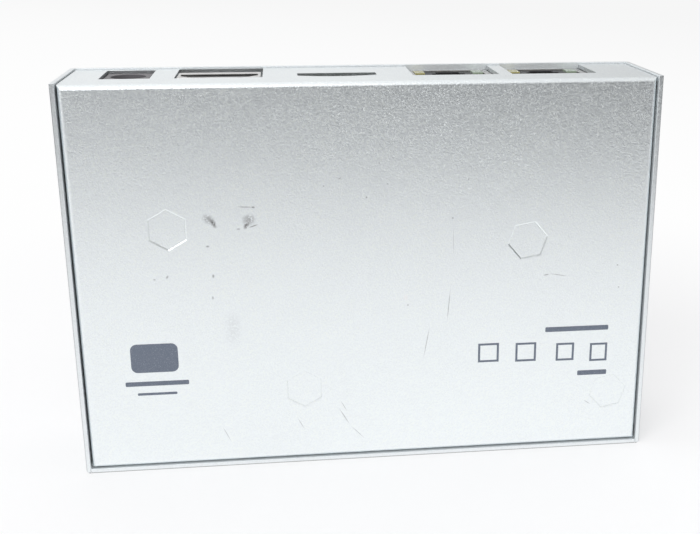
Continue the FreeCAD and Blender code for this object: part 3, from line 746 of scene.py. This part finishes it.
@dataclass(frozen=True)
class BoardLacquer:
    """A circuit board's green lacquer over its copper tracks."""

    name: str
    tone: RGB = (0.012, 0.10, 0.045)
    over_copper: RGB = (0.03, 0.19, 0.07)
    track_pitch: float = 1.9
    track_edge: Span = (0.30, 0.26)
    bundle: float = 9.0
    bundle_edge: Span = (0.47, 0.49)
    pour: float = 6.0
    pour_edge: Span = (0.56, 0.57)
    rough_swing: float = 0.1
    roughness: float = 0.32
    coat: float = 0.3
    depth: float = 0.03

    def build(self) -> bpy.types.Material:
        """Builds the board's node tree.

        Returns:
            The board's material.
        """
        tree = FinishTree(self.name)
        x, _, z = tree.axes()
        bundles = tree.grain(self.bundle, detail=0.0)
        across = bundles.ramp(*self.bundle_edge)
        run = (x * (1 - across) + z * across) / (self.track_pitch * MM)
        tracks = run.maths("PINGPONG", run, 0.5).ramp(*self.track_edge)
        pours = tree.grain(self.pour, detail=1.0).ramp(*self.pour_edge)
        copper = tracks.maths("MAXIMUM", tracks, pours)
        return tree.surface(
            Base_Color=tree.blend(copper, self.tone, self.over_copper),
            Roughness=bundles.swing(self.rough_swing) + self.roughness,
            Coat_Weight=self.coat,
            Normal=tree.relief(copper, self.depth),
        )


@dataclass(frozen=True)
class Ink:
    """Screen-printed ink, thin at its pores."""

    name: str
    tone: RGB = (0.114, 0.137, 0.181)
    thin: RGB = (0.24, 0.26, 0.30)
    pore: float = 0.18
    pore_edge: Span = (0.5, 0.8)
    rough_swing: float = 0.2
    roughness: float = 0.55
    depth: float = 0.006

    def build(self) -> bpy.types.Material:
        """Builds the ink's node tree.

        Returns:
            The ink's material.
        """
        tree = FinishTree(self.name)
        pores = tree.grain(self.pore, detail=2.0)
        return tree.surface(
            Base_Color=tree.blend(pores.ramp(*self.pore_edge), self.tone, self.thin),
            Roughness=pores.swing(self.rough_swing) + self.roughness,
            Normal=tree.relief(pores, self.depth),
        )


@dataclass(frozen=True)
class StudioPaper:
    """White paper that shows white where the object stands, and keeps soft shadows.

    bright_to, dim_from and fade are places in metres, and near is a squared distance from the
    object. dim is what a reflection shows of the paper far in front.
    """

    name: str
    tone: RGB = (0.90, 0.90, 0.91)
    fibre: float = 1.5
    warmth: float = 0.99
    near_white: float = 0.36
    far_white: float = 0.97
    near: Span = (0.045, 0.010)
    white: float = 0.995
    bright_to: float = -0.20
    dim_from: float = -0.42
    skew: float = 0.25
    dim: float = 0.0
    fade: Span = (0.1, 1.6)
    fade_depth: float = 0.07

    def build(self) -> bpy.types.Material:
        """Builds the paper's node tree.

        Returns:
            The paper's material.
        """
        tree = FinishTree(self.name)
        fibres = tree.grain(self.fibre, detail=2.0)
        warm = tuple(part * self.warmth for part in self.tone)
        camera, glossy, through = tree.rays()
        paper_tone = tree.blend(fibres, warm, self.tone)
        paper = tree.node("ShaderNodeBsdfDiffuse", sockets={"Color": paper_tone})
        x, y, _ = tree.axes()
        far = glossy * (y - x * self.skew).ramp(self.bright_to, self.dim_from)
        away = (y + x).ramp(*self.fade) * self.fade_depth
        shown = tree.blend((far + away).kept(), (self.white,) * 3, (self.dim,) * 3)
        glow = tree.node("ShaderNodeEmission", sockets={"Color": shown})
        near = (x * x + y * y).ramp(*self.near)
        whiteness = near * (self.near_white - self.far_white) + self.far_white
        share = (camera * whiteness + glossy + through).kept()
        parts = {0: share, 1: paper.outputs[0], 2: glow.outputs[0]}
        mixed = tree.node("ShaderNodeMixShader", sockets=parts)
        tree.node("ShaderNodeOutputMaterial", sockets={"Surface": mixed.outputs[0]})
        return tree.owner


CASE_PAINT = CoverPaint("silver_flake_paint", tone=(0.87, 0.91, 0.93))
PLATE_PAINT = PlatePaint("silver_flake_paint_worn", marks=PLATE_MARKS)
TINNED = Metal("tinned_sheet", (0.66, 0.66, 0.655), 0.34)
SHELL_PLATE = Metal("plated_outlet_shell", (0.74, 0.74, 0.735), 0.22)
ZINC = Metal("zinc_plated_screw", (0.55, 0.56, 0.57), 0.36, Drawing.TURNED)
GOLD = Metal("gold_plated_wire", (0.78, 0.57, 0.25), 0.28)
ALUMINIUM = Metal("aluminium_can", (0.72, 0.72, 0.73), 0.3, Drawing.TURNED)
ANODISED = Metal("black_anodised_fin", (0.05, 0.05, 0.055), 0.45)
JACK_BLACK = Moulding("jack_moulding", (0.022, 0.022, 0.024), 0.42)
POWER_GREY = Moulding("power_jack_plastic", (0.125, 0.12, 0.13), 0.5)
OUTLET_BLACK = Moulding("outlet_moulding", (0.02, 0.02, 0.022), 0.5)
CHIP_BLACK = Moulding("chip_resin", (0.018, 0.018, 0.02), 0.6, 0.06, 0.01)
FERRITE = Moulding("pressed_ferrite", (0.10, 0.10, 0.10), 0.65, 0.2, 0.02)
CERAMIC = Moulding("fired_ceramic", (0.42, 0.29, 0.17), 0.5, 0.15)
PAD_GREY = Moulding("soft_pad", (0.40, 0.42, 0.47), 0.8, 0.3, 0.02)
YELLOW_PIPE = LightPipe("yellow_light_pipe", (0.50, 0.46, 0.20), (0.20, 0.18, 0.06))
GREEN_PIPE = LightPipe("green_light_pipe", (0.36, 0.44, 0.33), (0.10, 0.15, 0.09))
POWER_LAMP = LightPipe("power_lamp_plastic", (0.45, 0.10, 0.08), (0.25, 0.03, 0.03), 0.3)
LINK_LAMP = LightPipe("link_lamp_plastic", (0.12, 0.40, 0.14), (0.04, 0.2, 0.06), 0.3)
LACQUER = BoardLacquer("board_lacquer")
PRINT_INK = Ink("plate_ink")
PAPER = StudioPaper("studio_paper")

Finish = Union[SilverPaint, Metal, Moulding, LightPipe, BoardLacquer, Ink, StudioPaper]


class FinishRack:
    """Keeps one material for each finish, made when it is first asked for."""

    def __init__(self) -> None:
        """Starts with no material made."""
        self.made: dict[str, bpy.types.Material] = {}

    def get(self, finish: Finish) -> bpy.types.Material:
        """Finds or makes a finish's material.

        Args:
            finish: the finish.

        Returns:
            Its material.
        """
        if finish.name not in self.made:
            self.made[finish.name] = finish.build()
        return self.made[finish.name]


class Bench:
    """Where pieces are made, with the frame's nodes and the finishes at hand."""

    def __init__(self, frame: dict[str, Any]) -> None:
        """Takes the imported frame.

        Args:
            frame: what the frame's loader gives.
        """
        self.nodes: dict[str, bpy.types.Object] = frame["nodes"]
        self.slots = {part["node"]: part["material_slot"] for part in frame["record"]["subparts"]}
        bodies = frame["record"]["behaviour"]["bodies"]
        self.bodies = {node: body for body, nodes in bodies.items() for node in nodes}
        self.rack = FinishRack()

    def dress(self, finish: Finish, *names: str) -> None:
        """Gives frame nodes a finish, with their own shape.

        Args:
            finish: the finish.
            names: the nodes.
        """
        material = self.rack.get(finish)
        for name in names:
            node = self.nodes[name]
            if not node.material_slots:
                node.data.materials.append(None)
            for place in node.material_slots:
                place.link = "OBJECT"
                place.material = material
            LOG.info("%s: finish %s", name, finish.name)

    def add(
        self, name: str, mesh: bpy.types.Mesh, finish: Finish, body: str, slot: str
    ) -> bpy.types.Object:
        """Puts a finished mesh in the scene as a piece.

        Args:
            name: the piece's name.
            mesh: its mesh, in the frame.
            finish: its finish.
            body: the body it rides on.
            slot: the record's material slot; not used.

        Returns:
            The piece.
        """
        piece = bpy.data.objects.new(name, mesh)
        bpy.context.scene.collection.objects.link(piece)
        mesh.materials.clear()
        mesh.materials.append(self.rack.get(finish))
        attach(piece, body)
        LOG.info("%s: %d faces on %s", name, len(mesh.polygons), body)
        return piece

    def softened(
        self,
        node: str,
        name: str,
        finish: Finish,
        width: float,
        chosen: Optional[Callable[[bmesh.types.BMEdge], bool]] = None,
    ) -> bpy.types.Object:
        """Stands a copy of a frame node in its place, with its sharp edges rounded off.

        Args:
            node: the node.
            name: the piece's name.
            finish: its finish.
            width: how far the rounding reaches from an edge, in millimetres.
            chosen: picks among the sharp edges, or None for all.

        Returns:
            The piece.
        """
        shape = bmesh.new()
        shape.from_mesh(self.nodes[node].data)
        bmesh.ops.remove_doubles(shape, verts=shape.verts, dist=WELD * MM)
        bmesh.ops.dissolve_limit(
            shape, angle_limit=FLAT_ANGLE, verts=shape.verts, edges=shape.edges
        )
        sharp = [edge for edge in shape.edges if is_sharp(edge)]
        if chosen is not None:
            sharp = [edge for edge in sharp if chosen(edge)]
        round_edges(shape, sharp, width, EDGE_SEGMENTS)
        mesh = mesh_from(shape, name)
        piece = self.add(name, mesh, finish, self.bodies[node], self.slots[node])
        hold_flats(piece)
        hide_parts(node)
        return piece


def is_sharp(edge: bmesh.types.BMEdge) -> bool:
    """Whether two faces meet at the edge at a clear angle."""
    return edge.is_manifold and edge.calc_face_angle(0.0) > SHARP_ANGLE


def round_edges(
    shape: bmesh.types.BMesh, edges: Sequence[bmesh.types.BMEdge], reach: float, segments: int
) -> None:
    """Rounds edges of a shape.

    Args:
        shape: the shape.
        edges: its edges to round.
        reach: how far the rounding reaches from an edge, in millimetres.
        segments: how many flats make up the round.
    """
    bmesh.ops.bevel(
        shape,
        geom=edges,
        offset=reach * MM,
        offset_type="OFFSET",
        segments=segments,
        profile=0.5,
        affect="EDGES",
        material=-1,
        clamp_overlap=False,
    )


def mesh_from(shape: bmesh.types.BMesh, name: str) -> bpy.types.Mesh:
    """Turns a finished shape into a mesh with smooth rounds and sharp corners, and frees it.

    Args:
        shape: the shape, closed, in metres.
        name: the mesh's name.

    Returns:
        The mesh.
    """
    bmesh.ops.recalc_face_normals(shape, faces=shape.faces)
    for face in shape.faces:
        face.smooth = True
    mesh = bpy.data.meshes.new(name)
    shape.to_mesh(mesh)
    shape.free()
    mesh.set_sharp_from_angle(angle=SHARP_ANGLE)
    return mesh


def hold_flats(piece: bpy.types.Object) -> None:
    """Keeps the shading of large flat faces flat beside their rounded edges.

    Args:
        piece: the piece that has them.
    """
    modifier = piece.modifiers.new("flat_faces", "WEIGHTED_NORMAL")
    modifier.keep_sharp = True
    modifier.weight = FLAT_WEIGHT


def moved(x: float, y: float, z: float) -> Matrix:
    """The move to a place in millimetres."""
    return Matrix.Translation(Vector((x, y, z)) * MM)


def bar(shape: bmesh.types.BMesh, x: Span, y: Span, z: Span) -> list[bmesh.types.BMVert]:
    """Adds a box to a shape.

    Args:
        shape: the shape.
        x: its low and high X in millimetres.
        y: its low and high Y.
        z: its low and high Z.

    Returns:
        The box's vertices.
    """
    middle = moved(*(sum(span) / 2 for span in (x, y, z)))
    size = Matrix.Diagonal([(span[1] - span[0]) * MM for span in (x, y, z)] + [1.0])
    return bmesh.ops.create_cube(shape, size=1.0, matrix=middle @ size)["verts"]


def lies_along_y(edge: bmesh.types.BMEdge) -> bool:
    """Whether an edge runs along Y."""
    return abs((edge.verts[0].co - edge.verts[1].co).normalized().y) > ALONG


def round_along_y(
    shape: bmesh.types.BMesh, verts: Sequence[bmesh.types.BMVert], radius: float
) -> None:
    """Rounds a box's four edges that run along Y.

    Args:
        shape: the shape.
        verts: the box's vertices.
        radius: the corner radius in millimetres.
    """
    edges = {edge for vert in verts for edge in vert.link_edges}
    round_edges(shape, [edge for edge in edges if lies_along_y(edge)], radius, CORNER_SEGMENTS)


@dataclass
class Case:
    """The folded tray and cover with their screws, nuts and standoffs."""

    bench: Bench
    cover_edge: float = 0.05
    head_edge: float = 0.07
    rim_y: float = -10.95
    rim_z: float = 74.15
    shortest: float = 0.5

    def build(self) -> None:
        """Makes and dresses every piece of the case."""
        self.bench.dress(PLATE_PAINT, "bottom_tray")
        self.bench.softened(
            "top_cover", "painted_cover", CASE_PAINT, self.cover_edge, self.on_open_rim
        )
        self.bench.dress(PLATE_PAINT, "board_standoffs")
        self.bench.softened("cover_screws", "countersunk_screws", ZINC, self.head_edge)
        self.bench.dress(ZINC, "board_screws", "cover_nuts")

    def on_open_rim(self, edge: bmesh.types.BMEdge) -> bool:
        """Picks the long edges of the cover's open rims.

        Args:
            edge: an edge of the cover.

        Returns:
            Whether it is one of them.
        """
        middle = (edge.verts[0].co + edge.verts[1].co) / (2 * MM)
        on_rim = middle.y < self.rim_y or middle.z > self.rim_z
        return on_rim and edge.calc_length() > self.shortest * MM


@dataclass
class PlatePrint:
    """The plain printed fields on the bottom plate: blank tile, ruled lines and empty boxes."""

    bench: Bench
    thickness: float = 0.015
    sunk: float = 0.01
    corner: float = 1.2
    line_corner: float = 0.2
    stroke: float = 0.42
    tile: Area = ((-44.7, -36.0), (20.2, 25.9))
    left_lines: tuple[Area, ...] = (
        ((-46.0, -34.3), (17.5, 18.4)),
        ((-43.9, -36.6), (15.6, 16.1)),
    )
    right_lines: tuple[Area, ...] = (
        ((34.2, 46.8), (24.9, 25.9)),
        ((41.0, 46.9), (15.5, 16.5)),
    )
    boxes: tuple[Area, ...] = (
        ((21.0, 25.1), (19.2, 23.1)),
        ((28.4, 32.5), (19.0, 22.9)),
        ((36.5, 40.1), (18.8, 22.5)),
        ((43.3, 46.8), (18.4, 22.2)),
    )

    def depth(self) -> Span:
        """The print's low and high Y."""
        return (PLATE_FACE - self.thickness, PLATE_FACE + self.sunk)

    def ruled(self, lines: Iterable[Area], shape: bmesh.types.BMesh) -> None:
        """Adds plain lines to a shape.

        Args:
            lines: each line's X and Z spans.
            shape: the shape.
        """
        for x, z in lines:
            radius = min(self.line_corner, (z[1] - z[0]) / 3)
            round_along_y(shape, bar(shape, x, self.depth(), z), radius)

    def empty_box(self, x: Span, z: Span, shape: bmesh.types.BMesh) -> None:
        """Adds the outline of an empty box to a shape.

        Args:
            x: its X span.
            z: its Z span.
            shape: the shape.
        """
        low, high = self.depth()
        turn = Matrix.Rotation(math.radians(90), 4, "X")
        size = Matrix.Diagonal([(span[1] - span[0]) / 2 * MM for span in (x, z)] + [1.0, 1.0])
        place = moved(sum(x) / 2, low, sum(z) / 2) @ turn @ size
        made = bmesh.ops.create_grid(shape, x_segments=1, y_segments=1, size=1.0, matrix=place)
        face = made["verts"][0].link_faces[0]
        inset = bmesh.ops.inset_region(
            shape, faces=[face], thickness=self.stroke * MM, use_boundary=True, use_even_offset=True
        )
        bmesh.ops.delete(shape, geom=[face], context="FACES")
        walls = bmesh.ops.extrude_face_region(shape, geom=inset["faces"], use_keep_orig=True)
        lifted = [part for part in walls["geom"] if isinstance(part, bmesh.types.BMVert)]
        bmesh.ops.translate(shape, verts=lifted, vec=(0, (high - low) * MM, 0))

    def printed(self, name: str, shape: bmesh.types.BMesh) -> None:
        """Puts a finished print on the plate.

        Args:
            name: the piece's name.
            shape: its shape.
        """
        self.bench.add(name, mesh_from(shape, name), PRINT_INK, "case", "case_paint")

    def build(self) -> None:
        """Makes the two printed fields."""
        left = bmesh.new()
        round_along_y(left, bar(left, self.tile[0], self.depth(), self.tile[1]), self.corner)
        self.ruled(self.left_lines, left)
        self.printed("plate_print_left", left)
        right = bmesh.new()
        self.ruled(self.right_lines, right)
        for x, z in self.boxes:
            self.empty_box(x, z, right)
        self.printed("plate_print_right", right)


@dataclass
class PowerJack:
    """The power jack's moulding, pin, leaf and terminal."""

    bench: Bench
    edge: float = 0.12

    def build(self) -> None:
        """Dresses the power jack."""
        self.bench.softened("power_jack_body", "power_jack_moulding", POWER_GREY, self.edge)
        self.bench.dress(TINNED, "power_jack_pin", "power_jack_terminal")
        self.bench.dress(GOLD, "power_jack_leaf")


@dataclass
class VideoOutlet:
    """The video outlet's shell, tongue and contacts."""

    bench: Bench
    shell_edge: float = 0.07

    def build(self) -> None:
        """Dresses the video outlet."""
        self.bench.softened("video_port_shell", "outlet_shell", SHELL_PLATE, self.shell_edge)
        self.bench.dress(OUTLET_BLACK, "video_port_insulator")
        self.bench.dress(GOLD, "video_port_contacts")


class Side(Enum):
    """Which of the two line jacks."""

    LEFT = "left"
    RIGHT = "right"


@dataclass
class LineJack:
    """One line jack: shield, housing, sprung wires and the two light pipes."""

    bench: Bench
    side: Side
    shield_edge: float = 0.07
    housing_edge: float = 0.1

    def node(self, part: str) -> str:
        """The frame node's name for one of the jack's parts."""
        return f"line_jack_{self.side.value}_{part}"

    def build(self) -> None:
        """Dresses the jack."""
        name = f"{self.side.value}_jack"
        self.bench.softened(self.node("shield"), f"{name}_shield", TINNED, self.shield_edge)
        self.bench.softened(self.node("housing"), f"{name}_housing", JACK_BLACK, self.housing_edge)
        self.bench.dress(GOLD, self.node("contacts"), self.node("terminals"))
        self.bench.dress(YELLOW_PIPE, self.node("yellow_window"))
        self.bench.dress(GREEN_PIPE, self.node("green_window"))


@dataclass
class CircuitBoard:
    """The board and what is soldered to it, inside the closed case."""

    bench: Bench
    finishes: dict[Finish, tuple[str, ...]] = field(
        default_factory=lambda: {
            LACQUER: ("main_board",),
            CHIP_BLACK: (
                "receiver_chip",
                "video_chip",
                "controller_chip",
                "memory_chip",
                "line_transformer",
                "converter_chips",
                "capacitor_bases",
                "protection_arrays",
                "chip_resistors",
                "indicator_holders",
            ),
            TINNED: ("chip_leads",),
            FERRITE: ("power_inductors",),
            ALUMINIUM: ("capacitor_cans", "oscillator"),
            ANODISED: ("heat_sink",),
            PAD_GREY: ("thermal_pad",),
            CERAMIC: ("ceramic_capacitors",),
            POWER_LAMP: ("power_indicator",),
            LINK_LAMP: ("link_indicator",),
        }
    )

    def build(self) -> None:
        """Dresses the board and its parts."""
        for finish, names in self.finishes.items():
            self.bench.dress(finish, *names)


@dataclass
class Lamp:
    """A soft square studio lamp.

    Its place, what it points at and its size are in metres, and its power is in watts.
    """

    name: str
    place: RGB
    target: RGB
    size: float
    power: float

    def build(self) -> None:
        """Puts the lamp in the scene, unseen by the camera."""
        data = bpy.data.lights.new(self.name, "AREA")
        data.shape = "SQUARE"
        data.size = self.size
        data.energy = self.power
        lamp = bpy.data.objects.new(self.name, data)
        lamp.location = self.place
        aim = Vector(self.target) - Vector(self.place)
        lamp.rotation_euler = aim.to_track_quat("-Z", "Y").to_euler()
        lamp.visible_camera = False
        bpy.context.scene.collection.objects.link(lamp)


@dataclass
class Studio:
    """Floor, surround, lamps and camera.

    The camera's place is in millimetres and its turn in degrees. Each span of the surround says
    where its dim part starts and where it is full, as a share of the direction's axis.
    """

    bench: Bench
    camera_place: RGB = (-15.3026, -207.0892, 100.4726)
    camera_turn: RGB = (72.3703, -0.2112, -7.3948)
    lens: float = 56.6238
    sensor: float = 36.0
    shift: Span = (-0.1059, 0.0103)
    clip: Span = (0.01, 30.0)
    floor_half: float = 4.0
    ambient: float = 0.93
    white: float = 0.985
    dim: float = 0.25
    low_from: Span = (0.65, 0.3)
    front_from: Span = (0.1, -0.3)
    right_from: Span = (0.02, 0.40)
    right_dim: float = 0.42
    back_from: Span = (0.55, 0.90)
    back_dim: float = 0.20
    lamps: tuple[Lamp, ...] = (
        Lamp("key_softbox", (-0.38, -0.60, 0.55), (0.0, 0.0, 0.03), 0.5, 2.7),
    )

    def floor(self) -> None:
        """A sheet of paper under the object."""
        shape = bmesh.new()
        bmesh.ops.create_grid(shape, x_segments=1, y_segments=1, size=self.floor_half)
        mesh = bpy.data.meshes.new("studio_floor")
        shape.to_mesh(mesh)
        shape.free()
        mesh.materials.append(self.bench.rack.get(PAPER))
        made = bpy.data.objects.new("studio_floor", mesh)
        bpy.context.scene.collection.objects.link(made)

    def world(self) -> None:
        """A plain grey light that reflections show as white, with dim parts."""
        tree = FinishTree("studio_surround", "worlds")
        bpy.context.scene.world = tree.owner
        camera, glossy, through = tree.rays()
        right, back, up = tree.axes(tree.node("ShaderNodeTexCoord").outputs["Generated"])
        front_low = up.ramp(*self.low_from) * back.ramp(*self.front_from)
        side = right.ramp(*self.right_from) * self.right_dim
        behind = back.ramp(*self.back_from) * self.back_dim
        dim = front_low + side + behind
        reflected = tree.blend((glossy * dim).kept(), (self.white,) * 3, (self.dim,) * 3)
        colour = tree.blend((camera + glossy + through).kept(), (self.ambient,) * 3, reflected)
        background = tree.node("ShaderNodeBackground", sockets={"Color": colour})
        tree.node("ShaderNodeOutputWorld", sockets={"Surface": background.outputs[0]})

    def camera(self) -> None:
        """The camera at the photograph's place."""
        data = bpy.data.cameras.new("photo_camera")
        data.sensor_width = self.sensor
        data.sensor_fit = "HORIZONTAL"
        data.lens = self.lens
        data.shift_x, data.shift_y = self.shift
        data.clip_start, data.clip_end = self.clip
        camera = bpy.data.objects.new("photo_camera", data)
        camera.location = Vector(self.camera_place) * MM
        camera.rotation_euler = Euler([math.radians(angle) for angle in self.camera_turn], "XYZ")
        bpy.context.scene.collection.objects.link(camera)
        bpy.context.scene.camera = camera

    def build(self) -> None:
        """Sets up the whole studio."""
        self.floor()
        self.world()
        for lamp in self.lamps:
            lamp.build()
        self.camera()
        bpy.context.scene.view_settings.view_transform = "Standard"


def main() -> None:
    """Builds the dressed model round the frame."""
    logging.basicConfig(level=logging.INFO, format="%(name)s: %(message)s")
    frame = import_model()
    bench = Bench(frame)
    Studio(bench).build()
    Case(bench).build()
    PlatePrint(bench).build()
    PowerJack(bench).build()
    VideoOutlet(bench).build()
    for side in Side:
        LineJack(bench, side).build()
    CircuitBoard(bench).build()


if __name__ == "__main__":
    main()
